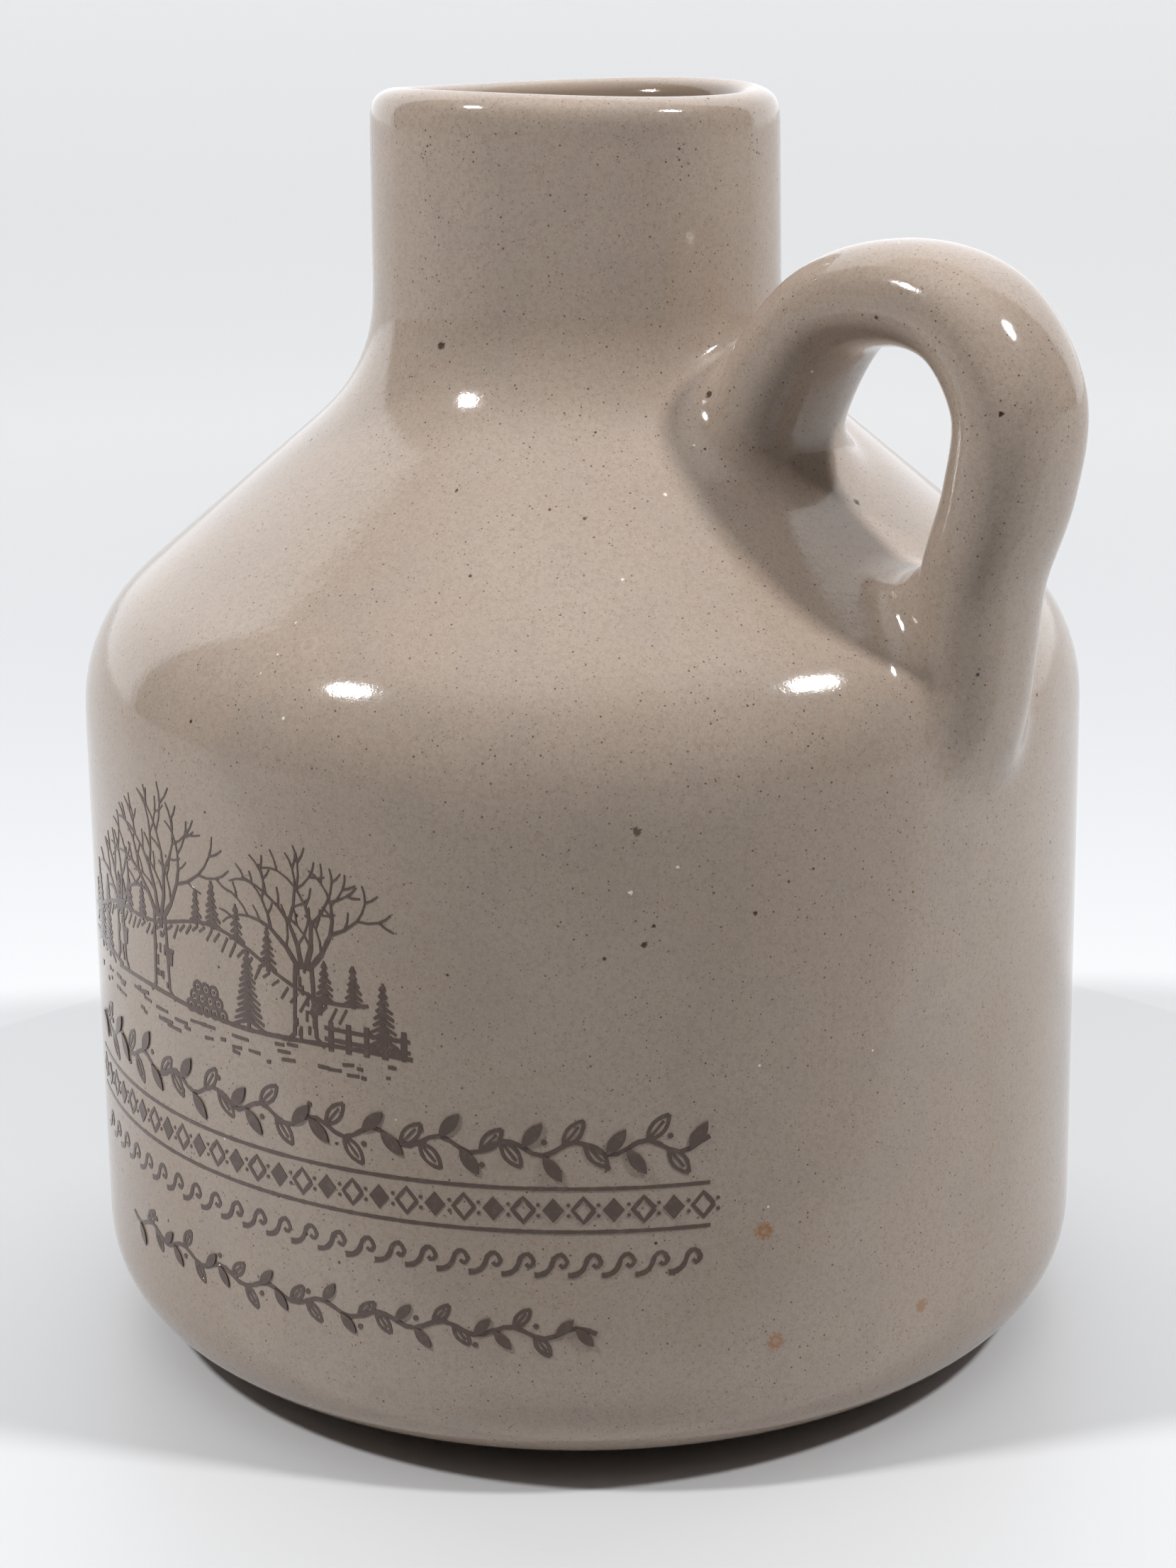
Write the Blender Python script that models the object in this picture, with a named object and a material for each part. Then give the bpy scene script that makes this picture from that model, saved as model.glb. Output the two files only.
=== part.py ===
"""Small stoneware syrup jug, cast in one piece.

A straight round body on a low foot, a cone shoulder, a short open neck and an
ear handle with a hole for one finger. The clay is about 4 mm thick and the jug
is empty. Origin: middle of the foot's underside. +Z is up, and the handle
points along +X. Sizes are in millimetres and are turned into metres by MM.
"""
import math

import bmesh
import bpy

MM = 0.001

# Outside of the body
HEIGHT = 120.0
FOOT_RADIUS = 39.5
FOOT_HEIGHT = 1.6
FOOT_EDGE_ROUND = 0.5
FOOT_CORNER_ROUND = 0.4
BELLY_RADIUS = 49.4
BELLY_EDGE_ROUND = 8.5
SHOULDER_RADIUS = 48.6
SHOULDER_HEIGHT = 70.2
SHOULDER_ROUND = 15.9
NECK_RADIUS = 19.55
NECK_HEIGHT = 94.3
NECK_ROUND = 14.7
LIP_RADIUS = 19.2
LIP_ROUND = 2.15

# Inside of the body
WALL = 4.3
BASE_THICKNESS = 5.0
INNER_EDGE_ROUND = 7.0
BORE_RADIUS = 15.0
INNER_SHOULDER_ROUND = 11.6
INNER_NECK_ROUND = 17.0

# The rim dried slightly out of flat
RIM_WARP = 0.33
RIM_WARP_DEPTH = 14.0
RIM_WARP_TURN = math.radians(88.0)

# How finely round shapes are divided
BODY_SIDES = 64
ARC_STEP = math.radians(14.0)
HANDLE_SIDES = 18
HANDLE_STEPS_PER_STATION = 3

# Handle stations: distance from the axis, height, half width, half thickness
HANDLE_STATIONS = (
    (22.4, 83.5, 9.2, 6.4),
    (24.3, 91.6, 7.8, 5.2),
    (30.6, 100.8, 7.1, 4.6),
    (38.6, 103.4, 6.9, 4.6),
    (46.2, 101.5, 6.9, 4.7),
    (50.6, 95.0, 6.9, 4.8),
    (50.0, 87.4, 6.8, 4.8),
    (47.6, 79.8, 6.5, 4.7),
    (47.0, 73.0, 6.3, 4.5),
    (46.6, 67.2, 5.9, 4.2),
    (45.3, 63.0, 4.9, 3.4),
)
HANDLE_SQUARENESS = 2.2
ROOT_DEPTH = 1.6

GLAZE_COLOUR = (0.40, 0.33, 0.27, 1.0)
GLAZE_ROUGHNESS = 0.18


def rounded_outline(corners):
    """Points of an outline whose corners (radius, height, round) are arcs."""
    points = [corners[0][:2]]
    for before, corner, after in zip(corners, corners[1:], corners[2:]):
        size = corner[2]
        to_before = (before[0] - corner[0], before[1] - corner[1])
        to_after = (after[0] - corner[0], after[1] - corner[1])
        length_before = math.hypot(*to_before)
        length_after = math.hypot(*to_after)
        u = (to_before[0] / length_before, to_before[1] / length_before)
        v = (to_after[0] / length_after, to_after[1] / length_after)
        angle = math.acos(u[0] * v[0] + u[1] * v[1])
        tangent = size / math.tan(angle / 2)
        middle = (u[0] + v[0], u[1] + v[1])
        reach = size / math.sin(angle / 2) / math.hypot(*middle)
        centre = (corner[0] + middle[0] * reach, corner[1] + middle[1] * reach)
        start = (corner[0] + u[0] * tangent, corner[1] + u[1] * tangent)
        end = (corner[0] + v[0] * tangent, corner[1] + v[1] * tangent)
        first = math.atan2(start[1] - centre[1], start[0] - centre[0])
        last = math.atan2(end[1] - centre[1], end[0] - centre[0])
        turn = (last - first + math.pi) % (2 * math.pi) - math.pi
        steps = max(2, math.ceil(abs(turn) / ARC_STEP))
        for step in range(steps + 1):
            here = first + turn * step / steps
            points.append((centre[0] + size * math.cos(here), centre[1] + size * math.sin(here)))
    points.append(corners[-1][:2])
    return points


def outer_corners(inset=0.0):
    """Corners of the outside, from the foot up to the lip, moved inwards by inset."""
    return [
        (FOOT_RADIUS - inset, inset, FOOT_EDGE_ROUND),
        (FOOT_RADIUS - inset, FOOT_HEIGHT + inset, FOOT_CORNER_ROUND),
        (BELLY_RADIUS - inset, FOOT_HEIGHT + inset, BELLY_EDGE_ROUND - inset),
        (SHOULDER_RADIUS - inset, SHOULDER_HEIGHT - inset / 2, SHOULDER_ROUND - inset),
        (NECK_RADIUS - inset, NECK_HEIGHT - inset / 2, NECK_ROUND + inset),
    ]


def inner_corners():
    """Corners of the inside, from the mouth down to the middle of the floor."""
    cone = (SHOULDER_RADIUS - NECK_RADIUS, NECK_HEIGHT - SHOULDER_HEIGHT)
    slant = math.hypot(*cone)
    drop = WALL * slant / cone[0]
    inner_radius = SHOULDER_RADIUS - WALL
    slope = cone[1] / cone[0]
    inner_shoulder = SHOULDER_HEIGHT - drop + slope * WALL
    inner_neck = inner_shoulder + slope * (inner_radius - BORE_RADIUS)
    return [
        (BORE_RADIUS, inner_neck, INNER_NECK_ROUND),
        (inner_radius, inner_shoulder, INNER_SHOULDER_ROUND),
        (inner_radius, BASE_THICKNESS, INNER_EDGE_ROUND),
    ]


def turned_solid(name, outline):
    """A solid turned from an outline whose two ends lie on the axis."""
    mesh = bpy.data.meshes.new(name)
    bm = bmesh.new()
    verts = [bm.verts.new((radius * MM, 0, height * MM)) for radius, height in outline]
    edges = [bm.edges.new(pair) for pair in zip(verts, verts[1:])]
    bmesh.ops.spin(
        bm,
        geom=verts + edges,
        cent=(0, 0, 0),
        axis=(0, 0, 1),
        angle=2 * math.pi,
        steps=BODY_SIDES,
    )
    bmesh.ops.remove_doubles(bm, verts=bm.verts, dist=0.00001)
    bmesh.ops.recalc_face_normals(bm, faces=bm.faces)
    bm.to_mesh(mesh)
    bm.free()
    piece = bpy.data.objects.new(name, mesh)
    bpy.context.collection.objects.link(piece)
    return piece


def warp_rim(piece):
    """Lift two sides of the rim and lower the two between them."""
    start = HEIGHT - RIM_WARP_DEPTH
    for vert in piece.data.vertices:
        share = (vert.co.z / MM - start) / RIM_WARP_DEPTH
        if share > 0:
            turn = math.atan2(vert.co.y, vert.co.x)
            wave = math.cos(2 * (turn - RIM_WARP_TURN))
            vert.co.z += RIM_WARP * MM * share * share * wave


def smooth_stations(stations, steps):
    """Stations along a smooth curve through the given ones."""
    padded = [stations[0]] + list(stations) + [stations[-1]]
    result = []
    for before, start, end, after in zip(padded, padded[1:], padded[2:], padded[3:]):
        for step in range(steps):
            t = step / steps
            result.append(tuple(
                0.5 * (2 * b + (c - a) * t + (2 * a - 5 * b + 4 * c - d) * t ** 2
                       + (3 * b - a - 3 * c + d) * t ** 3)
                for a, b, c, d in zip(before, start, end, after)
            ))
    result.append(stations[-1])
    return result


def section_point(turn, half_width, half_thickness):
    """Point on the handle's rounded section: across the handle, and outwards."""
    power = 2 / HANDLE_SQUARENESS
    across = math.copysign(abs(math.sin(turn)) ** power, math.sin(turn))
    outwards = math.copysign(abs(math.cos(turn)) ** power, math.cos(turn))
    return half_width * across, half_thickness * outwards


def handle_solid(name):
    """The handle's strap, swept along its stations, with both ends closed."""
    stations = smooth_stations(HANDLE_STATIONS, HANDLE_STEPS_PER_STATION)
    mesh = bpy.data.meshes.new(name)
    bm = bmesh.new()
    rings = []
    for index, (reach, height, half_width, half_thickness) in enumerate(stations):
        before = stations[max(index - 1, 0)]
        after = stations[min(index + 1, len(stations) - 1)]
        along = (after[0] - before[0], after[1] - before[1])
        length = math.hypot(*along)
        out = (-along[1] / length, along[0] / length)
        ring = []
        for side in range(HANDLE_SIDES):
            turn = 2 * math.pi * side / HANDLE_SIDES
            across, outwards = section_point(turn, half_width, half_thickness)
            x = reach + out[0] * outwards
            z = height + out[1] * outwards
            ring.append(bm.verts.new((x * MM, across * MM, z * MM)))
        rings.append(ring)
    for ring, following in zip(rings, rings[1:]):
        for side in range(HANDLE_SIDES):
            beyond = (side + 1) % HANDLE_SIDES
            bm.faces.new((ring[side], ring[beyond], following[beyond], following[side]))
    bm.faces.new(rings[0])
    bm.faces.new(rings[-1])
    bmesh.ops.triangulate(bm, faces=bm.faces)
    bmesh.ops.recalc_face_normals(bm, faces=bm.faces)
    bm.to_mesh(mesh)
    bm.free()
    piece = bpy.data.objects.new(name, mesh)
    bpy.context.collection.objects.link(piece)
    return piece


def apply_boolean(piece, other, operation):
    """Cut or join piece with another, which is then removed."""
    modifier = piece.modifiers.new(operation.lower(), "BOOLEAN")
    modifier.object = other
    modifier.operation = operation
    modifier.solver = "EXACT"
    bpy.context.view_layer.update()
    evaluated = piece.evaluated_get(bpy.context.evaluated_depsgraph_get())
    mesh = bpy.data.meshes.new_from_object(evaluated)
    piece.modifiers.clear()
    piece.data = mesh
    bpy.data.objects.remove(other, do_unlink=True)


def glaze():
    """Warm grey-beige glazed stoneware."""
    material = bpy.data.materials.new("glazed_stoneware")
    material.use_nodes = True
    shader = material.node_tree.nodes["Principled BSDF"]
    shader.inputs["Base Color"].default_value = GLAZE_COLOUR
    shader.inputs["Roughness"].default_value = GLAZE_ROUGHNESS
    shader.inputs["Metallic"].default_value = 0.0
    return material


def make_jug():
    """Body and handle, joined into the one piece of the jug."""
    lip = [
        (LIP_RADIUS, HEIGHT, LIP_ROUND),
        (BORE_RADIUS, HEIGHT, LIP_ROUND * 0.95),
    ]
    corners = [(0, 0, 0)] + outer_corners() + lip + inner_corners() + [(0, BASE_THICKNESS, 0)]
    jug = turned_solid("jug", rounded_outline(corners))
    warp_rim(jug)

    core_corners = outer_corners(ROOT_DEPTH)
    core_outline = [(0, ROOT_DEPTH, 0)] + core_corners + [
        (NECK_RADIUS - ROOT_DEPTH, HEIGHT, 1.0),
        (0, HEIGHT, 0),
    ]
    core = turned_solid("core", rounded_outline(core_outline))
    handle = handle_solid("handle")
    apply_boolean(handle, core, "DIFFERENCE")
    apply_boolean(jug, handle, "UNION")

    mesh = jug.data
    mesh.materials.clear()
    mesh.materials.append(glaze())
    mesh.shade_smooth()
    mesh.set_sharp_from_angle(angle=math.radians(35))
    return jug


for leftover in list(bpy.data.objects):
    bpy.data.objects.remove(leftover, do_unlink=True)
make_jug()
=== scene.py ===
import math
import random

import bpy
import bmesh
import numpy as np
from mathutils import Matrix, Vector


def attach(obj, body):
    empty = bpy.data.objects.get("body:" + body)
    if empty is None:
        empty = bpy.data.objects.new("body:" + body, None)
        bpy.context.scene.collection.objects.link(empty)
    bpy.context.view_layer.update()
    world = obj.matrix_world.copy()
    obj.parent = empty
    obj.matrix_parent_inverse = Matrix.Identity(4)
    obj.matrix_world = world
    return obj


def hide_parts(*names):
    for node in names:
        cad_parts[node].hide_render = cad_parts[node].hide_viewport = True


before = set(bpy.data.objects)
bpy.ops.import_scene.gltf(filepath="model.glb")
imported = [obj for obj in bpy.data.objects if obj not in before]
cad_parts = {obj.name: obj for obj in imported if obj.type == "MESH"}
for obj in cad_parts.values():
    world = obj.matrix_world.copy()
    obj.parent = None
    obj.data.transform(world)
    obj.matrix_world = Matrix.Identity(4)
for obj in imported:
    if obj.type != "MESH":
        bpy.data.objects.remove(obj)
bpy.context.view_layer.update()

# The camera stands a little above the jug's mouth, close to it, and looks down at
# the side that carries the print. It sees the handle from the front and the side.
MM = 0.001
camera_distance = 266.8 * MM
camera_height = 129.6 * MM
camera_turn = math.radians(42.91)
camera_pitch = math.radians(16.21)
camera_roll = math.radians(-0.74)
focal_pixels = 3904.0
photo_height = 2212.0
view_from = math.radians(43.0)

camera_data = bpy.data.cameras.new("camera")
camera_data.sensor_width = 36.0
camera_data.lens = focal_pixels * camera_data.sensor_width / photo_height
camera_data.clip_start = 10 * MM
camera = bpy.data.objects.new("camera", camera_data)
bpy.context.collection.objects.link(camera)
camera.matrix_world = (
    Matrix.Translation((
        camera_distance * math.sin(view_from),
        -camera_distance * math.cos(view_from),
        camera_height,
    ))
    @ Matrix.Rotation(camera_turn, 4, "Z")
    @ Matrix.Rotation(math.pi / 2 - camera_pitch, 4, "X")
    @ Matrix.Rotation(camera_roll, 4, "Z")
)
bpy.context.scene.camera = camera


# The jug's body is stoneware, cast in a mould: a straight wall on a low foot, a
# cone shoulder, a short neck and a rounded lip. It is hollow, with a wall of about
# 4 mm, and its skin is spun here from one outline that runs in at the mouth.
def deselect_everything():
    if bpy.context.object and bpy.context.object.mode != "OBJECT":
        bpy.ops.object.mode_set(mode="OBJECT")
    bpy.ops.object.select_all(action="DESELECT")


def made_active(piece):
    """Select one piece alone, ready for the next tool."""
    deselect_everything()
    bpy.context.view_layer.objects.active = piece
    piece.select_set(True)


def outline_parts(corners):
    """Straight runs (start, end) and arcs (centre, round, first angle, turn)."""
    parts = []
    last = Vector(corners[0][:2])
    for before, corner, after in zip(corners, corners[1:], corners[2:]):
        here = Vector(corner[:2])
        u = (Vector(before[:2]) - here).normalized()
        v = (Vector(after[:2]) - here).normalized()
        half = u.angle(v) / 2
        centre = here + (u + v).normalized() * corner[2] / math.sin(half)
        start = here + u * corner[2] / math.tan(half)
        end = here + v * corner[2] / math.tan(half)
        first = math.atan2(start.y - centre.y, start.x - centre.x)
        last_way = math.atan2(end.y - centre.y, end.x - centre.x)
        turn = (last_way - first + math.pi) % (2 * math.pi) - math.pi
        parts.append((last, start))
        parts.append((centre, corner[2], first, turn))
        last = end
    parts.append((last, Vector(corners[-1][:2])))
    return parts


def outline_points(parts, step, inside_start, inside_step):
    """Points along the parts, a step apart, closer on small arcs and wider inside."""
    points = [parts[0][0].copy()]
    for number, part in enumerate(parts):
        if number == inside_start:
            step = inside_step
        if len(part) == 2:
            count = max(1, round((part[1] - part[0]).length / step))
            points += [part[0].lerp(part[1], i / count) for i in range(1, count + 1)]
        else:
            centre, size, first, turn = part
            count = max(3, round(abs(turn) * size / step))
            for i in range(1, count + 1):
                way = first + turn * i / count
                points.append(centre + size * Vector((math.cos(way), math.sin(way))))
    return points


height = 120.0
foot_radius = 39.5
foot_height = 1.6
belly_radius = 49.4
shoulder_radius = 48.6
shoulder_height = 70.2
neck_radius = 19.55
neck_height = 94.3
lip_radius = 19.2
lip_round = 2.15
clay_wall = 4.3
base_thickness = 5.0
bore_radius = 15.0
slope = (neck_height - shoulder_height) / (shoulder_radius - neck_radius)
inner_radius = shoulder_radius - clay_wall
inner_shoulder = shoulder_height - clay_wall * math.hypot(1, slope) + slope * clay_wall
inner_neck = inner_shoulder + slope * (inner_radius - bore_radius)
outer_corners = [
    (0, 0),
    (foot_radius, 0, 0.5),
    (foot_radius, foot_height, 0.4),
    (belly_radius, foot_height, 8.5),
    (shoulder_radius, shoulder_height, 15.9),
    (neck_radius, neck_height, 14.7),
    (lip_radius, height, lip_round),
]
inner_corners = [
    (bore_radius, height, lip_round * 0.95),
    (bore_radius, inner_neck, 17.0),
    (inner_radius, inner_shoulder, 11.6),
    (inner_radius, base_thickness, 7.0),
    (0, base_thickness),
]
columns = 128
row_step = 2.0
hidden_row_step = 3.6
bore_parts = 2 * len(outer_corners) + 1
parts = outline_parts(outer_corners + inner_corners)
outline = outline_points(parts, row_step, bore_parts, hidden_row_step)

deselect_everything()
skin = bpy.data.meshes.new("jug_glazed")
skin.from_pydata(
    [(point.x * MM, 0, point.y * MM) for point in outline],
    [(i, i + 1) for i in range(len(outline) - 1)],
    [],
)
jug = bpy.data.objects.new("jug_glazed", skin)
bpy.context.collection.objects.link(jug)
made_active(jug)
bpy.ops.object.mode_set(mode="EDIT")
bpy.ops.mesh.select_all(action="SELECT")
bpy.ops.mesh.spin(steps=columns, angle=2 * math.pi, center=(0, 0, 0), axis=(0, 0, 1))
bpy.ops.mesh.select_all(action="SELECT")
bpy.ops.mesh.remove_doubles(threshold=0.01 * MM)
bpy.ops.mesh.normals_make_consistent(inside=False)
bpy.ops.object.mode_set(mode="OBJECT")


# The handle is a strap as wide as a finger, pulled thin and bent into an ear. Its
# ends are pressed into the wet clay: the upper one spreads on the neck, the lower
# one is pinched narrow and fades into the wall. A tube is drawn along the strap.
stations = [
    (22.4, 83.5, 9.2, 6.4),
    (24.3, 91.6, 7.8, 5.2),
    (30.6, 100.8, 7.1, 4.6),
    (38.6, 103.4, 6.9, 4.6),
    (46.2, 101.5, 6.9, 4.7),
    (50.6, 95.0, 6.9, 4.8),
    (50.0, 87.4, 6.8, 4.8),
    (47.6, 79.8, 6.5, 4.7),
    (47.0, 73.0, 6.3, 4.5),
    (46.6, 67.2, 5.9, 4.2),
    (45.3, 63.0, 4.9, 3.4),
]
squareness = 2.2
strap_sides = 64


def station_at(way):
    """Distance from the axis, height, half width and half thickness on the strap."""
    way = min(max(way, 0.0), len(stations) - 1.0)
    index = min(int(way), len(stations) - 2)
    t = way - index
    four = [stations[min(max(i, 0), len(stations) - 1)] for i in range(index - 1, index + 3)]
    return [
        0.5 * (2 * b + (c - a) * t + (2 * a - 5 * b + 4 * c - d) * t * t
               + (3 * b - a - 3 * c + d) * t ** 3)
        for a, b, c, d in zip(*four)
    ]


def strap_ring(way):
    """Points of the strap's section at one place, in millimetres."""
    reach, up, half_width, half_thickness = station_at(way)
    ahead = station_at(way + 0.02)
    behind = station_at(way - 0.02)
    along = Vector((ahead[0] - behind[0], ahead[1] - behind[1])).normalized()
    ring = []
    for side in range(strap_sides):
        turn = 2 * math.pi * side / strap_sides
        power = 2 / squareness
        across = math.copysign(abs(math.sin(turn)) ** power, math.sin(turn)) * half_width
        outwards = math.copysign(abs(math.cos(turn)) ** power, math.cos(turn)) * half_thickness
        ring.append((reach - along.y * outwards, across, up + along.x * outwards))
    return ring


first_way = 1.55
last_way = 7.0
ring_count = 34
ways = [first_way + (last_way - first_way) * i / (ring_count - 1) for i in range(ring_count)]

deselect_everything()
bpy.ops.mesh.primitive_circle_add(vertices=strap_sides, radius=5 * MM)
strap = bpy.context.object
strap.name = "strap"
for vert, place in zip(strap.data.vertices, strap_ring(ways[0])):
    vert.co = Vector(place) * MM
for way in ways[1:]:
    bpy.ops.object.mode_set(mode="EDIT")
    bpy.ops.mesh.extrude_region_move()
    bpy.ops.object.mode_set(mode="OBJECT")
    chosen = [vert for vert in strap.data.vertices if vert.select]
    for vert, place in zip(chosen, strap_ring(way)):
        vert.co = Vector(place) * MM


# The two are joined as the potter does it: the clay under each end of the strap is
# opened, the edges are worked together, and the seam is smoothed into a small
# fillet. The joined skin is then drawn onto one blended surface of both shapes.
upper_blend = 3.6
side_blend = 2.6
inner_blend = 8.0
outside = outline_parts(outer_corners + [(bore_radius, height)])
shoulder_to_lip = slice(5, 11)


def body_distance(radius, up):
    """Signed distance from the turned outside, in millimetres."""
    nearest = np.full(radius.shape, 1e9)
    signed = np.zeros(radius.shape)
    for part in outside[shoulder_to_lip]:
        if len(part) == 2:
            run = part[1] - part[0]
            along = run.normalized()
            t = (radius - part[0].x) * along.x + (up - part[0].y) * along.y
            t = np.clip(t, 0, run.length)
            dx = radius - part[0].x - t * along.x
            dy = up - part[0].y - t * along.y
            far = np.hypot(dx, dy)
            side = dx * along.y - dy * along.x
        else:
            centre, size, first, turn = part
            dx = radius - centre.x
            dy = up - centre.y
            far = np.abs(np.hypot(dx, dy) - size)
            away = np.arctan2(dy, dx) - first - turn / 2
            away = (away + np.pi) % (2 * np.pi) - np.pi
            far = np.where(np.abs(away) <= abs(turn) / 2 + 0.001, far, 1e9)
            side = (np.hypot(dx, dy) - size) * math.copysign(1, turn)
        closer = far < nearest
        nearest = np.where(closer, far, nearest)
        signed = np.where(closer, np.sign(side) * far, signed)
    return signed


line_ways = np.linspace(0, len(stations) - 1, 321)
line = np.array([station_at(way) for way in line_ways])


def strap_distance(points):
    """Signed distance from the strap's rounded section, in millimetres."""
    reach = points[:, 0:1] - line[None, :, 0]
    up = points[:, 2:3] - line[None, :, 1]
    nearest = np.argmin(reach * reach + up * up, axis=1)
    nearest = np.clip(nearest, 1, len(line) - 2)
    along = line[nearest + 1, 0:2] - line[nearest - 1, 0:2]
    along /= np.linalg.norm(along, axis=1, keepdims=True)
    dx = points[:, 0] - line[nearest, 0]
    dz = points[:, 2] - line[nearest, 1]
    over = dx * along[:, 0] + dz * along[:, 1]
    spacing = np.linalg.norm(line[nearest + 1, 0:2] - line[nearest - 1, 0:2], axis=1)
    shift = np.clip(over / spacing, -1, 1)
    half_width = line[nearest, 2] + shift * (line[nearest + 1, 2] - line[nearest - 1, 2])
    half_thickness = line[nearest, 3] + shift * (line[nearest + 1, 3] - line[nearest - 1, 3])
    beyond = np.maximum(np.abs(over) - spacing, 0)
    outwards = -along[:, 1] * dx + along[:, 0] * dz
    across = points[:, 1]
    share = (np.abs(across / half_width) ** squareness
             + np.abs(outwards / half_thickness) ** squareness) ** (1 / squareness)
    share = np.maximum(share, 0.05)
    section = np.hypot(across, outwards) * (1 - 1 / share)
    section = np.where(share < 0.3, -half_thickness * (1 - share), section)
    return np.where(beyond > 0, np.hypot(np.maximum(section, 0), beyond), section)


def joined_distance(points):
    """The two distances, blended where the shapes meet.

    The fillet is small at the sides of the lower end, and large where the strap's
    inner face meets the cone under the finger.
    """
    first = body_distance(np.hypot(points[:, 0], points[:, 1]), points[:, 2])
    second = strap_distance(points)
    low = np.clip((86.0 - points[:, 2]) / 6.0, 0, 1) * np.clip((points[:, 0] - 34.0) / 4.0, 0, 1)
    inner = np.clip((46.5 - points[:, 0]) / 4.0, 0, 1)
    inner = inner * np.clip((8.0 - np.abs(points[:, 1])) / 4.0, 0, 1)
    lower_blend = side_blend + (inner_blend - side_blend) * inner
    blend = upper_blend + low * (lower_blend - upper_blend)
    near = np.maximum(blend - np.abs(first - second), 0) / blend
    return np.minimum(first, second) - near * near * blend / 4


def drawn_onto_surface(points, rounds=4):
    """The points moved along the gradient until they lie on the joined surface."""
    points = points.copy()
    step = 0.02
    for _ in range(rounds):
        value = joined_distance(points)
        slope_at = np.stack([
            (joined_distance(points + offset) - joined_distance(points - offset)) / (2 * step)
            for offset in np.eye(3) * step
        ], axis=1)
        steep = np.maximum((slope_at ** 2).sum(axis=1), 0.05)
        move = np.clip(value / steep, -2.5, 2.5)
        points -= move[:, None] * slope_at
    return points


def open_patch(piece, low_row, high_row, half_cells):
    """Take out a square patch of the body's outside, centred on the handle's plane."""
    cell = 2 * math.pi / columns
    mesh = bmesh.new()
    mesh.from_mesh(piece.data)
    low = outline[low_row]
    high = outline[high_row]
    gone = []
    for face in mesh.faces:
        middle = face.calc_center_median() / MM
        away = abs(math.atan2(middle.y, middle.x)) / cell
        radius = math.hypot(middle.x, middle.y)
        if away < half_cells and low.y < middle.z < high.y and radius > high.x - 0.3:
            if face.normal.dot(Vector((middle.x, middle.y, radius))) > 0:
                gone.append(face)
    bmesh.ops.delete(mesh, geom=gone, context="FACES")
    mesh.to_mesh(piece.data)
    mesh.free()


def row_near(up):
    """Row of the outline's outside that lies closest to a height."""
    outer = [i for i in range(len(outline)) if outline[i].x > neck_radius - 0.5 and i < lip_row]
    return min(outer, key=lambda i: abs(outline[i].y - up))


lip_row = max(range(len(outline)), key=lambda i: outline[i].y)
patch_rows = 12
half_cells = strap_sides // 4 - patch_rows // 2
for patch_foot in (82.5, 59.5):
    low_row = row_near(patch_foot)
    open_patch(jug, low_row, low_row + patch_rows, half_cells)

made_active(jug)
strap.select_set(True)
bpy.ops.object.join()
bpy.ops.object.mode_set(mode="EDIT")
bpy.ops.mesh.select_mode(type="EDGE")
between_ends = 81.5
first_new = len(jug.data.vertices)
for upper in (True, False):
    bpy.ops.mesh.select_all(action="DESELECT")
    bpy.ops.mesh.select_non_manifold(extend=False, use_wire=False, use_multi_face=False,
                                     use_non_contiguous=False, use_verts=False)
    bpy.ops.object.mode_set(mode="OBJECT")
    heights = [vert.co.z / MM for vert in jug.data.vertices]
    for edge in jug.data.edges:
        if edge.select:
            up = heights[edge.vertices[0]] + heights[edge.vertices[1]]
            edge.select = (up / 2 > between_ends) == upper
    for vert in jug.data.vertices:
        vert.select = vert.select and (heights[vert.index] > between_ends) == upper
    bpy.ops.object.mode_set(mode="EDIT")
    bpy.ops.mesh.bridge_edge_loops(type="PAIRS", number_cuts=7, interpolation="LINEAR")
bpy.ops.mesh.select_mode(type="VERT")
bpy.ops.mesh.select_all(action="SELECT")
bpy.ops.mesh.normals_make_consistent(inside=False)
bpy.ops.object.mode_set(mode="OBJECT")


def coordinates(piece):
    """The piece's points as an array in millimetres."""
    flat = np.empty(len(piece.data.vertices) * 3)
    piece.data.vertices.foreach_get("co", flat)
    return flat.reshape(-1, 3) / MM


def give_coordinates(piece, points):
    """Move the piece's points to an array of places in millimetres."""
    piece.data.vertices.foreach_set("co", (points * MM).ravel())
    piece.data.update()


points = coordinates(jug)
moving = np.arange(len(points)) >= first_new
ends = np.array([edge.vertices[:] for edge in jug.data.edges])
links = moving[ends[:, 0]] | moving[ends[:, 1]]
ends = ends[links]
number = np.bincount(ends.ravel(), minlength=len(points))
points[moving] = drawn_onto_surface(points[moving], 6)
relax_rounds = 40
relax_pull = 0.6
for relaxing in range(relax_rounds):
    total = np.zeros_like(points)
    for axis in range(3):
        total[:, axis] = (np.bincount(ends[:, 0], points[ends[:, 1], axis], len(points))
                          + np.bincount(ends[:, 1], points[ends[:, 0], axis], len(points)))
    middle = total[moving] / number[moving][:, None]
    pulled = (1 - relax_pull) * points[moving] + relax_pull * middle
    points[moving] = drawn_onto_surface(pulled, 2)
give_coordinates(jug, points)

made_active(jug)
finer = jug.modifiers.new("finer", "SUBSURF")
finer.levels = 1
finer.render_levels = 1
bpy.ops.object.modifier_apply(modifier="finer")
points = coordinates(jug)
handle_side = (points[:, 0] > 17) & (np.abs(points[:, 1]) < 20)
near_handle = np.where(handle_side & (points[:, 2] > 56) & (points[:, 2] < 112))[0]
near_points = points[near_handle]
first = body_distance(np.hypot(near_points[:, 0], near_points[:, 1]), near_points[:, 2])
second = strap_distance(near_points)
skin_depth = 1.2
keep = (np.minimum(first, second) > -skin_depth) & (second < inner_blend + 1)
near_handle = near_handle[keep]
points[near_handle] = drawn_onto_surface(points[near_handle], 5)

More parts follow.
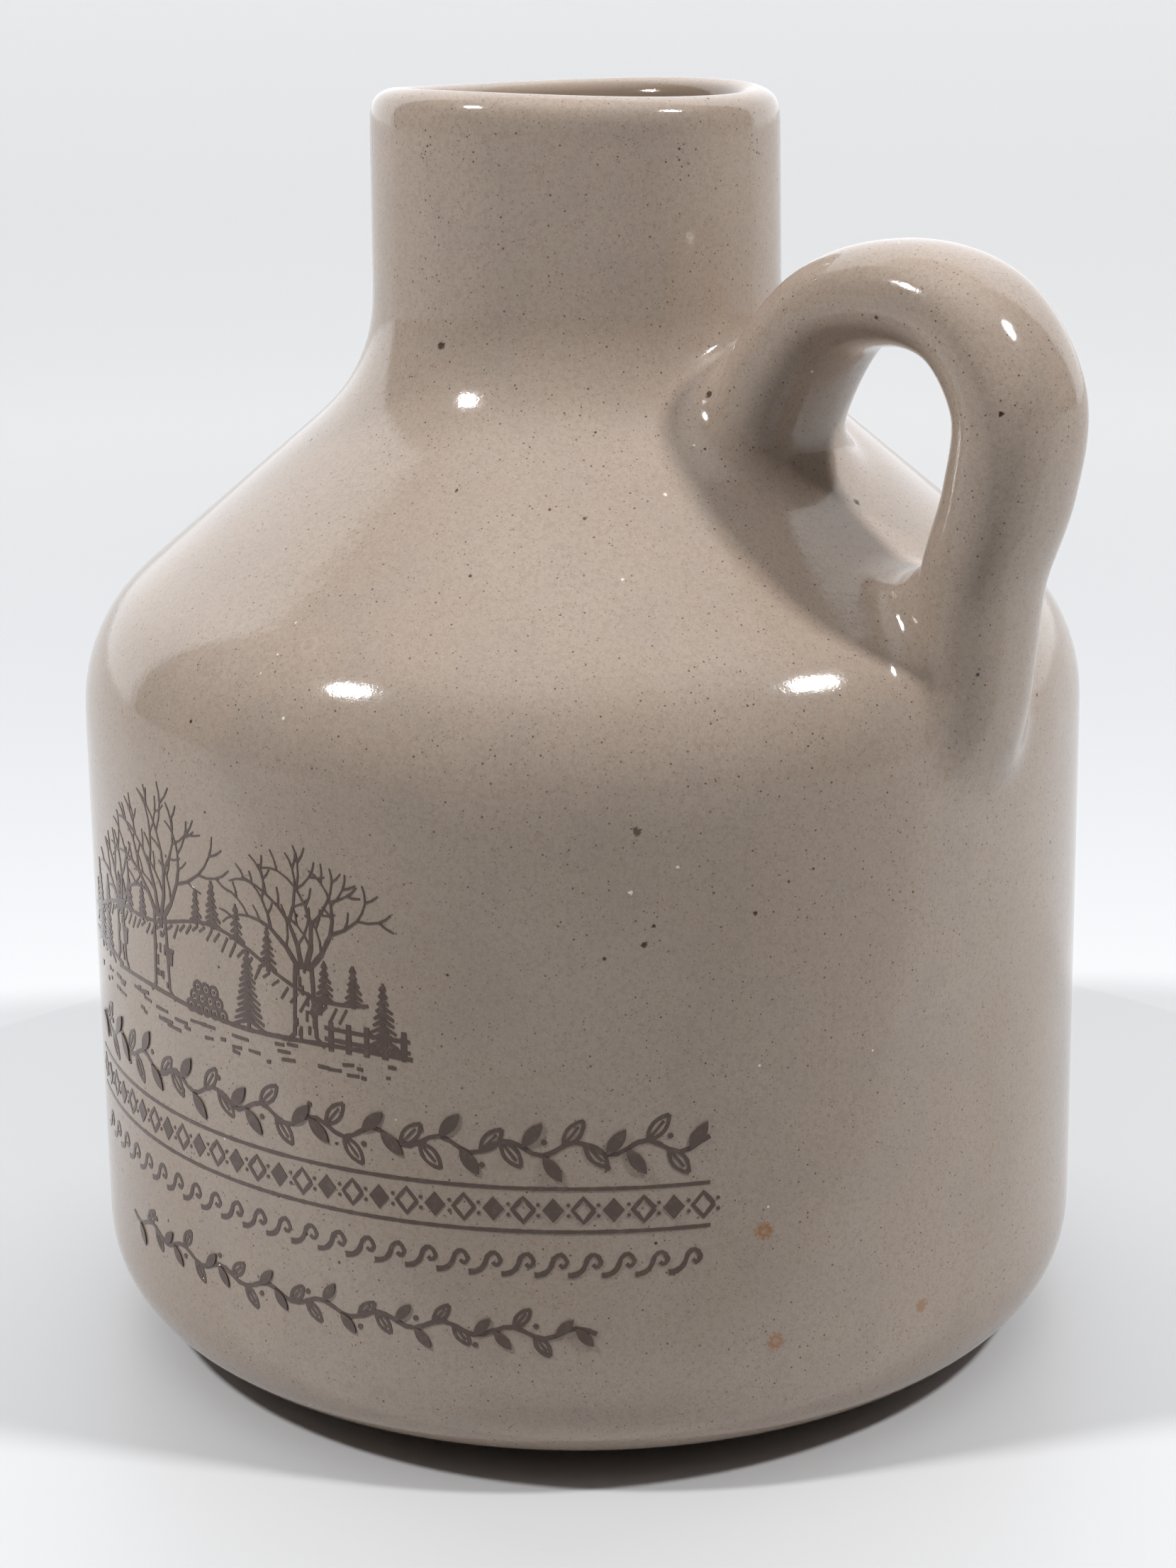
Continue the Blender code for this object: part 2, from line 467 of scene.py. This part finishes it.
# The rim dried a little out of flat: two sides are up, and it dips to the handle
warp_depth = 14
warp_height = 0.29
warp_turn = math.radians(88)
dip_height = 0.18
dip_turn = math.radians(-2)
share = np.clip((points[:, 2] - height + warp_depth) / warp_depth, 0, 1)
turn = np.arctan2(points[:, 1], points[:, 0])
warp = warp_height * np.cos(2 * (turn - warp_turn)) - dip_height * np.cos(turn - dip_turn)
points[:, 2] += share * share * warp
give_coordinates(jug, points)
bpy.ops.object.shade_smooth()


# The glaze is a warm grey-beige stoneware glaze, fired glossy. Iron in the clay has
# bled through it as fine brown specks, with a few larger pinholes and rust spots.
class Value:
    """A shader socket that takes part in sums like a number."""

    def __init__(self, tree, socket):
        self.tree = tree
        self.socket = socket

    def math(self, operation, *others, clamp=False):
        node = self.tree.nodes.new("ShaderNodeMath")
        node.operation = operation
        node.use_clamp = clamp
        for socket, value in zip(node.inputs, (self,) + others):
            set_input(socket, value)
        return Value(self.tree, node.outputs[0])

    def __add__(self, other):
        return self.math("ADD", other)

    def __sub__(self, other):
        return self.math("SUBTRACT", other)

    def __rsub__(self, other):
        return self * -1.0 + other

    def __mul__(self, other):
        return self.math("MULTIPLY", other)

    __radd__ = __add__
    __rmul__ = __mul__

    def rise(self, low, high):
        """Smooth step from 0 at low to 1 at high."""
        return add_node(self.tree, "ShaderNodeMapRange",
                        {"interpolation_type": "SMOOTHSTEP"},
                        {"Value": self, "From Min": low, "From Max": high})

    def fall(self, low, high):
        """Smooth step from 1 at low to 0 at high."""
        return 1.0 - self.rise(low, high)


def set_input(socket, value):
    """Give a socket a number, a colour, a vector or a link."""
    if isinstance(value, Value):
        socket.id_data.links.new(value.socket, socket)
    else:
        socket.default_value = value


def add_node(tree, kind, settings, values, output=0):
    """A new shader node: its settings first, then its values and links."""
    node = tree.nodes.new(kind)
    for name, setting in settings.items():
        setattr(node, name, setting)
    for name, value in values.items():
        set_input(node.inputs[name], value)
    return Value(tree, node.outputs[output])


def mixed(tree, share, first, second):
    """A colour between two others."""
    return add_node(tree, "ShaderNodeMix", {"data_type": "RGBA"},
                    {0: share, 6: first, 7: second}, 2)


glaze_colour = (0.392, 0.314, 0.254, 1)
light_tone = (0.436, 0.360, 0.304, 1)
dark_tone = (0.325, 0.250, 0.196, 1)
grey_tone = (0.352, 0.296, 0.256, 1)
speck_colour = (0.105, 0.062, 0.042, 1)
pinhole_colour = (0.03, 0.018, 0.014, 1)
# Near-white for burst bubbles: painted glints of light
burst_glint_colour = (0.95, 0.92, 0.86, 1)
# The bare clay is darkened to a bluish grey: painted shade under the jug's overhang
shaded_clay_colour = (0.115, 0.098, 0.105, 1)

# Marks that the kiln left, and near-white painted glints on burst bubbles: place in mm, radius in
# mm, strength and colour
rust_colour = (0.33, 0.15, 0.055, 1)
dark_colour = (0.06, 0.03, 0.022, 1)
marks = [
    ((42.9, -23.8, 24.9), 0.85, 0.9, rust_colour),
    ((43.6, -22.9, 14.2), 0.90, 0.8, rust_colour),
    ((48.6, -8.1, 13.7), 0.70, 0.7, rust_colour),
    ((22.5, -7.1, 94.0), 0.42, 0.95, dark_colour),
    ((1.6, -19.8, 98.0), 0.42, 0.9, dark_colour),
    ((31.9, 2.4, 84.0), 0.38, 1.0, dark_colour),
    ((53.1, -6.2, 95.0), 0.26, 1.0, dark_colour),
    ((36.2, -32.5, 62.0), 0.42, 0.8, dark_colour),
    ((36.7, -32.2, 52.1), 0.32, 1.0, dark_colour),
    ((37.2, -31.6, 53.7), 0.20, 1.0, dark_colour),
    ((42.2, -24.4, 54.1), 0.24, 1.0, dark_colour),
    ((10.2, -26.8, 86.7), 0.20, 0.9, dark_colour),
    ((18.5, -23.7, 85.5), 0.18, 0.9, dark_colour),
    ((21.3, -22.3, 84.9), 0.20, 0.9, dark_colour),
    ((17.1, -16.2, 91.2), 0.16, 0.9, dark_colour),
    ((35.9, -33.0, 56.7), 0.20, 0.8, burst_glint_colour),
    ((38.4, -29.9, 58.7), 0.16, 0.8, burst_glint_colour),
    ((24.6, -15.5, 86.4), 0.18, 0.7, burst_glint_colour),
    ((27.1, -23.9, 80.6), 0.18, 0.7, burst_glint_colour),
    ((42.9, -23.8, 24.9), 0.34, 0.5, light_tone),
    ((43.6, -22.9, 14.2), 0.34, 0.4, light_tone),
]
# Clusters of dark specks under the rim: place in mm and radius in mm
clusters = [
    ((-0.3, -19.3, 115.1), 1.1),
    ((18.9, 3.6, 115.0), 1.5),
    ((18.3, -6.0, 114.5), 1.5),
]
# A pale ring where a bubble healed, and the depth of the glaze's orange-peel skin
ring_middle = (7.2, -42.0, 75.2)
ring_radius = 0.75
relief_depth = 0.03


def glaze_material(name):
    """The glaze's material, its shader, colour, place in millimetres and noise."""
    material = bpy.data.materials.new(name)
    material.use_nodes = True
    tree = material.node_tree
    place = add_node(tree, "ShaderNodeTexCoord", {}, {}, 3)
    place = add_node(tree, "ShaderNodeVectorMath", {"operation": "SCALE"},
                     {0: place, "Scale": 1 / MM})

    def noise(scale, detail, roughness=0.5):
        return add_node(tree, "ShaderNodeTexNoise", {},
                        {"Vector": place, "Scale": scale, "Detail": detail,
                         "Roughness": roughness})

    def dots(scale, low, high, share):
        """Round dots of mixed sizes in a share of the cells of a random net."""
        away = add_node(tree, "ShaderNodeTexVoronoi", {},
                        {"Vector": place, "Scale": scale, "Randomness": 1.0})
        lot = Value(tree, away.socket.node.outputs["Color"])
        pick = add_node(tree, "ShaderNodeSeparateColor", {}, {"Color": lot})
        size = add_node(tree, "ShaderNodeSeparateColor", {}, {"Color": lot}, 1)
        reach = size * (high - low) + low
        inside = add_node(tree, "ShaderNodeMapRange", {"interpolation_type": "SMOOTHSTEP"},
                          {"Value": away, "From Min": reach * 0.45, "From Max": reach,
                           "To Min": 1.0, "To Max": 0.0})
        return inside * pick.math("LESS_THAN", share)

    def away_from(middle):
        return add_node(tree, "ShaderNodeVectorMath", {"operation": "DISTANCE"},
                        {0: place, 1: middle}, 1)

    broad = noise(0.045, 2.0)
    patch = noise(0.16, 3.0, 0.55)
    fine = noise(1.9, 3.0, 0.6)
    grain = noise(5.5, 2.0, 0.6)
    colour = mixed(tree, broad.rise(0.35, 0.7) * 0.55, glaze_colour, light_tone)
    colour = mixed(tree, patch.rise(0.45, 0.72) * 0.5, colour, grey_tone)
    colour = mixed(tree, fine.rise(0.42, 0.72) * 0.6, colour, dark_tone)
    colour = mixed(tree, grain.rise(0.48, 0.75) * 0.7, colour, dark_tone)
    colour = mixed(tree, grain.fall(0.28, 0.48) * 0.6, colour, light_tone)
    specks = dots(1.35, 0.07, 0.19, 1.0)
    faint = dots(2.6, 0.12, 0.28, 0.9)
    colour = mixed(tree, faint * 0.5, colour, speck_colour)
    colour = mixed(tree, specks * 0.9, colour, speck_colour)
    holes = dots(0.30, 0.05, 0.085, 0.40)
    colour = mixed(tree, holes * 0.9, colour, pinhole_colour)
    # Burst bubbles, painted near-white as glints of light
    burst_glints = dots(0.26, 0.03, 0.05, 0.30)
    colour = mixed(tree, burst_glints * 0.75, colour, burst_glint_colour)
    rough_edge = (noise(4.5, 3.0, 0.6) - 0.5) * 2.2
    for middle, radius, strength, tint in marks:
        away = away_from(middle) + rough_edge * radius
        colour = mixed(tree, away.fall(radius * 0.55, radius * 1.15) * strength, colour, tint)
    scraps = dots(2.3, 0.16, 0.44, 0.9)
    for middle, radius in clusters:
        near = away_from(middle).fall(radius * 0.6, radius)
        colour = mixed(tree, near * scraps * 0.9, colour, dark_colour)
    ring_away = (away_from(ring_middle) - ring_radius).math("ABSOLUTE")
    colour = mixed(tree, ring_away.fall(0.05, 0.2) * 0.45, colour, light_tone)
    shader = tree.nodes["Principled BSDF"]
    waves = noise(0.22, 2.0) * 0.7 + noise(0.9, 2.0) * 0.3
    relief = waves - holes * 0.25 + fine * 0.30 + grain * 0.12
    set_input(shader.inputs["Normal"],
              add_node(tree, "ShaderNodeBump", {},
                       {"Strength": 1.0, "Distance": relief_depth * MM, "Height": relief}))
    return material, shader, colour, place, noise


glaze, shader, colour, place, noise = glaze_material("stoneware_glaze")
tree = glaze.node_tree
up = add_node(tree, "ShaderNodeSeparateXYZ", {}, {0: place}, 2)
# Inside the neck the colour is darker and a little browner: painted shade in the hollow; under the
# foot the clay is bare, its colour darkened to a bluish grey as painted shade
inside_shade_tone = (0.21, 0.155, 0.115, 1)
glaze_roughness = 0.09
out = add_node(tree, "ShaderNodeVectorMath", {"operation": "LENGTH"},
               {0: add_node(tree, "ShaderNodeVectorMath", {"operation": "MULTIPLY"},
                            {0: place, 1: (1.0, 1.0, 0.0)})}, 1)
colour = mixed(tree, out.fall(15.3, 16.4) * 0.85, colour, inside_shade_tone)
bare = up.fall(1.35, 1.6)
colour = mixed(tree, bare, colour, shaded_clay_colour)
set_input(shader.inputs["Base Color"], colour)
set_input(shader.inputs["Roughness"], bare * 0.6 + glaze_roughness)
jug.data.materials.clear()
jug.data.materials.append(glaze)
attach(jug, "root")
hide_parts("jug")


# The print is a brown transfer laid on before the glaze firing: a small winter scene
# of bare trees above rows of ornament, centred left of the camera. Its strokes are
# thin skins of ink on the wall, drawn flat in millimetres and rolled onto it.
print_lift = 0.02
ink_depth = 0.10
wall_taper = (belly_radius - shoulder_radius) / (shoulder_height - foot_height)
scene_turn = math.radians(-94.0)
rows_turn = math.radians(-78.0)
wall_round = 49.0
boldness = 1.7
rng = random.Random(11)
ribbons = []
patches = []


def stroke(turn, points, width, end_width=None):
    """A ribbon along points (across, up) about the upright line at a turn."""
    end_width = width if end_width is None else end_width
    fine = [Vector(points[0])]
    for start, end in zip(points, points[1:]):
        start, end = Vector(start), Vector(end)
        count = max(1, math.ceil((end - start).length / 0.9))
        fine += [start.lerp(end, i / count) for i in range(1, count + 1)]
    sides = []
    for i, point in enumerate(fine):
        along = (fine[min(i + 1, len(fine) - 1)] - fine[max(i - 1, 0)]).normalized()
        share = i / max(1, len(fine) - 1)
        half = (width + (end_width - width) * share) * boldness / 2 * rng.uniform(0.82, 1.12)
        across = Vector((-along.y, along.x)) * half
        sides.append((point - across, point + across))
    ribbons.append((turn, sides))


def patch(turn, points):
    """A filled shape, given counterclockwise."""
    patches.append((turn, [Vector(point) for point in points]))


def curve(start, bend, end, count=6):
    """Points of an arc from start to end, pulled towards bend."""
    start, bend, end = Vector(start), Vector(bend), Vector(end)
    return [start.lerp(bend, i / count).lerp(bend.lerp(end, i / count), i / count)
            for i in range(count + 1)]


def branch(turn, start, way, length, width, left):
    """A bare branch that forks until its twigs are short."""
    middle = start + length * 0.5 * Vector((math.cos(way), math.sin(way)))
    end = start + length * Vector((math.cos(way + 0.12), math.sin(way + 0.12)))
    stroke(turn, [start, middle, end], width, width * 0.62)
    if left:
        for side in (-1, 1):
            spread = rng.uniform(0.32, 0.62) * side
            branch(turn, end, way + spread, length * rng.uniform(0.62, 0.80),
                   max(width * 0.62, 0.13), left - 1)
        if left > 1:
            branch(turn, middle, way + rng.choice((-1, 1)) * 0.8, length * 0.55,
                   max(width * 0.45, 0.13), left - 2)


def maple(turn, across, ground, tall, forks):
    """A bare tree with a furrowed trunk and a sap bucket under its spout."""
    top = ground + tall * 0.38
    wide = tall * 0.062
    for side in (-1, 1):
        stroke(turn, [(across + side * wide * 1.7, ground), (across + side * wide, ground + 0.8),
                      (across + side * wide * 0.75, top)], 0.24)
    for mark in range(13):
        up = rng.uniform(ground + 0.3, top)
        place = across + wide * rng.uniform(-0.8, 0.9)
        stroke(turn, [(place, up), (place + 0.05, up + rng.uniform(0.5, 1.3))], 0.17)
    for way in (0.86, 1.28, 1.75, 2.2):
        start = Vector((across + wide * 0.7 * math.cos(way), top - 0.2))
        branch(turn, start, way, tall * 0.23, 0.34, forks)
    pail = Vector((across + wide * 1.15, ground + tall * 0.16))
    corners = [pail + Vector(place) for place in ((-0.45, 0), (0.45, 0), (0.6, 1.25), (-0.6, 1.25))]
    patch(turn, corners)
    stroke(turn, [pail + Vector((-0.75, 1.42)), pail + Vector((0.75, 1.42))], 0.2)


def fir(turn, across, ground, tall):
    """A fir tree of drooping needles in layers."""
    layers = max(5, round(tall / 0.62))
    for layer in range(layers):
        share = layer / layers
        up = ground + tall * (0.08 + 0.92 * share)
        reach = tall * 0.26 * (1 - share) + 0.12
        for side in (-1, 1):
            for part in (0.45, 1.0):
                length = reach * part * rng.uniform(0.8, 1.1)
                stroke(turn, [(across, up + 0.2), (across + side * length, up - length * 0.38)],
                       0.27, 0.15)
    stroke(turn, [(across, ground - 0.3), (across, ground + tall)], 0.26, 0.14)


def leaf(turn, foot, way, long, filled):
    """A pointed leaf with its midrib."""
    tip = foot + long * Vector((math.cos(way), math.sin(way)))
    out = Vector((-math.sin(way), math.cos(way))) * long * 0.42
    middle = (foot + tip) / 2
    upper = curve(foot, middle + out, tip)
    lower = curve(tip, middle - out, foot)
    if filled:
        patch(turn, lower[:-1] + upper[:-1])
    else:
        stroke(turn, upper, 0.2)
        stroke(turn, lower, 0.2)
        stroke(turn, [foot, middle.lerp(tip, 0.5)], 0.16)


def dot(turn, middle, size):
    """A filled round spot."""
    patch(turn, [middle + size / 2 * Vector((math.cos(i * math.pi / 5), math.sin(i * math.pi / 5)))
                 for i in range(10)])


def ring(turn, middle, size):
    """A drawn circle."""
    way = [i * math.pi / 6 for i in range(13)]
    stroke(turn, [middle + size / 2 * Vector((math.cos(a), math.sin(a))) for a in way], 0.19)


# The winter scene: ground and far hills first, then trees, fence and stacked logs
ground_line = 41.2
for start, end, up, sag in ((-24, -13, 0.9, 0.5), (-14, 2, 0.2, 0.7), (1, 13, 0.4, -0.6),
                            (12, 25, 0.1, 0.5)):
    stroke(scene_turn, curve((start, ground_line + up), ((start + end) / 2, ground_line + up + sag),
                             (end, ground_line + up * 0.6)), 0.24)
for tuft in range(46):
    place = Vector((rng.uniform(-23.5, 24.5), ground_line - rng.uniform(0.3, 2.6)))
    long = rng.uniform(0.5, 2.2) * (1.2 - abs(place.x) / 30)
    stroke(scene_turn, [place, place + Vector((long, rng.uniform(-0.1, 0.15)))], 0.18)
hill = [Vector((across, 47.4 + 2.1 * math.cos(across * 0.13) + 0.8 * math.sin(across * 0.31)))
        for across in range(-24, 22)]
stroke(scene_turn, hill, 0.2)
for across in range(-22, 20):
    point = hill[across + 24]
    stroke(scene_turn, [point - Vector((0.1, 0.4)), point - Vector((0.9, rng.uniform(0.9, 1.9)))],
           0.15)
for number in range(15):
    across = -22.5 + number * 3.0 + rng.uniform(-0.8, 0.8)
    if abs(across + 4.0) > 2.5 and abs(across - 14.0) > 2.5:
        up = hill[min(45, max(0, round(across) + 24))].y
        fir(scene_turn, across, up, rng.uniform(2.6, 4.6))
for across, tall in ((-20.5, 8.6), (-17.4, 6.8), (8.2, 7.4), (22.4, 6.4)):
    fir(scene_turn, across, ground_line + 0.3, tall)
maple(scene_turn, 14.6, ground_line, 18.6, 3)
maple(scene_turn, -4.2, ground_line + 0.2, 20.2, 3)
maple(scene_turn, -13.0, ground_line + 0.6, 15.0, 2)
for post in range(5):
    across = 17.2 + post * 1.75
    stroke(scene_turn, [(across, ground_line - 0.2), (across + 0.06, ground_line + 2.5)], 0.32)
for rail in (0.9, 1.9):
    stroke(scene_turn, [(16.6, ground_line + rail), (24.8, ground_line + rail - 0.25)], 0.22)
for row in range(3):
    for log in range(5 - row):
        middle = Vector((0.4 + log * 1.12 + row * 0.56, ground_line + 0.55 + row * 0.97))
        ring(scene_turn, middle, 1.05)
        dot(scene_turn, middle, 0.36)

# The rows of ornament: a garland, diamonds, a running wave and a lower garland
row_half = 37.0
for level, half, long in ((33.9, row_half, 2.9), (16.6, 27.0, 2.3)):
    stem = []
    count = round(half * 2 / 0.9)
    for i in range(count + 1):
        across = -half + i * 2 * half / count
        stem.append(Vector((across, level + long * 0.22 * math.sin(across * 1.05))))
    stroke(rows_turn, stem, 0.24)
    for i in range(2, count - 1, 2):
        side = 1 if i % 4 == 0 else -1
        leaf(rows_turn, stem[i], side * rng.uniform(0.75, 1.0), long, i % 8 < 4)
        if i % 6 == 0:
            dot(rows_turn, stem[i] + Vector((0.15, -side * long * 0.42)), 0.52)
for number in range(-14, 15):
    across = number * 2.6
    middle = Vector((across, 28.2))
    corners = [middle + Vector(place) for place in ((0.95, 0), (0, 1.15), (-0.95, 0), (0, -1.15))]
    if number % 2:
        patch(rows_turn, corners)
    else:
        stroke(rows_turn, corners + corners[:1], 0.24)
    for up in (-0.5, 0.5):
        dot(rows_turn, middle + Vector((1.3, up)), 0.34)
for up in (26.2, 30.2):
    stroke(rows_turn, [(across, up) for across in range(-37, 38)], 0.2)
for number in range(-12, 13):
    start = Vector((number * 2.9, 23.0))
    stroke(rows_turn, curve(start + Vector((-1.5, -0.9)), start + Vector((-0.2, -0.9)),
                            start + Vector((0.1, 0.4)))
           + curve(start + Vector((0.2, 0.7)), start + Vector((0.9, 1.6)),
                   start + Vector((1.35, 0.4)), 4)
           + curve(start + Vector((1.3, 0.2)), start + Vector((1.0, -0.4)),
                   start + Vector((0.65, 0.15)), 3), 0.3, 0.2)

verts = []
faces = []


def on_wall(turn, point, lift):
    """Place on the wall of a point drawn flat."""
    radius = belly_radius - (point.y - foot_height) * wall_taper + lift
    angle = turn + point.x / wall_round
    return (radius * math.cos(angle) * MM, radius * math.sin(angle) * MM, point.y * MM)


for number, (turn, sides) in enumerate(ribbons):
    lift = print_lift + number % 7 * 0.002
    first = len(verts)
    for right, left in sides:
        verts.append(on_wall(turn, right, lift))
        verts.append(on_wall(turn, left, lift))
    for i in range(first, len(verts) - 2, 2):
        faces.append((i, i + 2, i + 3, i + 1))
for number, (turn, points) in enumerate(patches):
    first = len(verts)
    lift = print_lift + 0.016 + number % 5 * 0.002
    middle = sum(points, Vector((0, 0))) / len(points)
    verts.append(on_wall(turn, middle, lift))
    for point in points:
        verts.append(on_wall(turn, point, lift))
    for i in range(len(points)):
        faces.append((first, first + 1 + i, first + 1 + (i + 1) % len(points)))

deselect_everything()
ink_skin = bpy.data.meshes.new("jug_print")
ink_skin.from_pydata(verts, [], faces)
ink = bpy.data.objects.new("jug_print", ink_skin)
bpy.context.collection.objects.link(ink)
made_active(ink)
bpy.ops.object.modifier_add(type="SOLIDIFY")
solidify = ink.modifiers[-1]
solidify.thickness = ink_depth * MM
solidify.offset = -1.0
bpy.ops.object.modifier_apply(modifier=solidify.name)
bpy.ops.object.shade_smooth_by_angle(angle=math.radians(40))

ink_colour = (0.088, 0.055, 0.045, 1)
worn_colour = (0.17, 0.12, 0.10, 1)
ink_cover = 0.94
transfer, shader, colour, place, noise = glaze_material("brown_transfer")
tree = transfer.node_tree
wear = noise(1.4, 3.0, 0.65).rise(0.5, 0.75) * 0.55
colour = mixed(tree, ink_cover, colour, mixed(tree, wear, ink_colour, worn_colour))
set_input(shader.inputs["Base Color"], colour)
shader.inputs["Roughness"].default_value = glaze_roughness
ink.data.materials.append(transfer)
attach(ink, "root")


# The jug stands on smooth white board, in a room lit by two small lamps at its sides
# and a bright ceiling. White paper stands behind it, out of the picture.
board = bpy.data.materials.new("white_board")
board.use_nodes = True
board_shader = board.node_tree.nodes["Principled BSDF"]
board_shader.inputs["Roughness"].default_value = 0.45
tree = board.node_tree
spot = add_node(tree, "ShaderNodeTexCoord", {}, {}, 3)
from_jug = add_node(tree, "ShaderNodeVectorMath", {"operation": "LENGTH"}, {0: spot}, 1)
disc_colour = (0.63, 0.635, 0.645, 1)
paper_colour = (0.67, 0.675, 0.685, 1)
toward_camera = (math.sin(view_from), -math.cos(view_from), 0)
to_right = (math.cos(view_from), math.sin(view_from), 0)
ahead = add_node(tree, "ShaderNodeVectorMath", {"operation": "DOT_PRODUCT"},
                 {0: spot, 1: toward_camera}, 1)
seen = add_node(tree, "ShaderNodeLightPath", {}, {})
board_colour = mixed(tree, from_jug.rise(0.1025, 0.1035), disc_colour, paper_colour)
# For bounced light only, the board in front of the jug is painted dark grey: painted shade that
# cuts the light thrown back onto the jug's front
bounce_shade_colour = (0.35, 0.35, 0.35, 1)
board_colour = mixed(tree, ahead.rise(0.066, 0.085) * (1.0 - seen), board_colour,
                     bounce_shade_colour)
set_input(board_shader.inputs["Base Color"], board_colour)
# Far from the jug the board glows by itself: painted light that brightens the distant floor
far_glow = (0.20, 0.195, 0.19, 1)
set_input(board_shader.inputs["Emission Color"],
          mixed(tree, from_jug.rise(0.14, 0.65), (0, 0, 0, 1), far_glow))
board_shader.inputs["Emission Strength"].default_value = 1.0
deselect_everything()
bpy.ops.mesh.primitive_plane_add(size=60.0)
floor = bpy.context.object
floor.name = "floor"
floor.data.materials.append(board)


def lamp(name, turn, rise, watts, distance=0.5, size=0.048):
    """A small round lamp aimed at the jug, placed by its angles from the camera."""
    data = bpy.data.lights.new(name, "AREA")
    data.shape = "DISK"
    data.size = size
    data.energy = watts
    piece = bpy.data.objects.new(name, data)
    bpy.context.collection.objects.link(piece)
    way = math.radians(turn) + view_from - math.pi / 2
    way_up = math.radians(rise)
    aim = Vector((0, 0, 0.08))
    offset = Vector((math.cos(way) * math.cos(way_up), math.sin(way) * math.cos(way_up),
                     math.sin(way_up)))
    piece.location = aim + offset * distance
    piece.rotation_euler = offset.to_track_quat("Z", "Y").to_euler()


lamp("lamp_left", turn=-68, rise=45, watts=1.80)
lamp("lamp_right", turn=67, rise=46, watts=1.76)

world = bpy.data.worlds.new("studio")
bpy.context.scene.world = world
world.use_nodes = True
sky = world.node_tree
direction = add_node(sky, "ShaderNodeTexCoord", {}, {})


def along(axis):
    """How far a direction of the room points along an axis."""
    return add_node(sky, "ShaderNodeVectorMath", {"operation": "DOT_PRODUCT"},
                    {0: direction, 1: axis}, 1)


forward = along(toward_camera)
sideways = along(to_right)
up = along((0, 0, 1))
turn_right = sideways.math("ARCTAN2", forward * -1.0)
paper = (turn_right.rise(math.radians(-59), math.radians(-57))
         * (1.0 - turn_right.rise(math.radians(62), math.radians(64)))
         * (1.0 - up.rise(0.78, 0.92)))
ceiling = up.rise(0.72, 1.0)
paper_light = 1.36
ceiling_light = 0.95
backdrop_light = 0.82
strength = paper * paper_light + ceiling * ceiling_light
tint = mixed(sky, paper, (1.0, 1.0, 1.0, 1), (0.97, 1.0, 1.04, 1))
seen = add_node(sky, "ShaderNodeLightPath", {}, {})
strength = strength * (1.0 - seen) + seen * backdrop_light
set_input(sky.nodes["Background"].inputs["Strength"], strength)
set_input(sky.nodes["Background"].inputs["Color"], tint)

bpy.context.scene.view_settings.view_transform = "Standard"
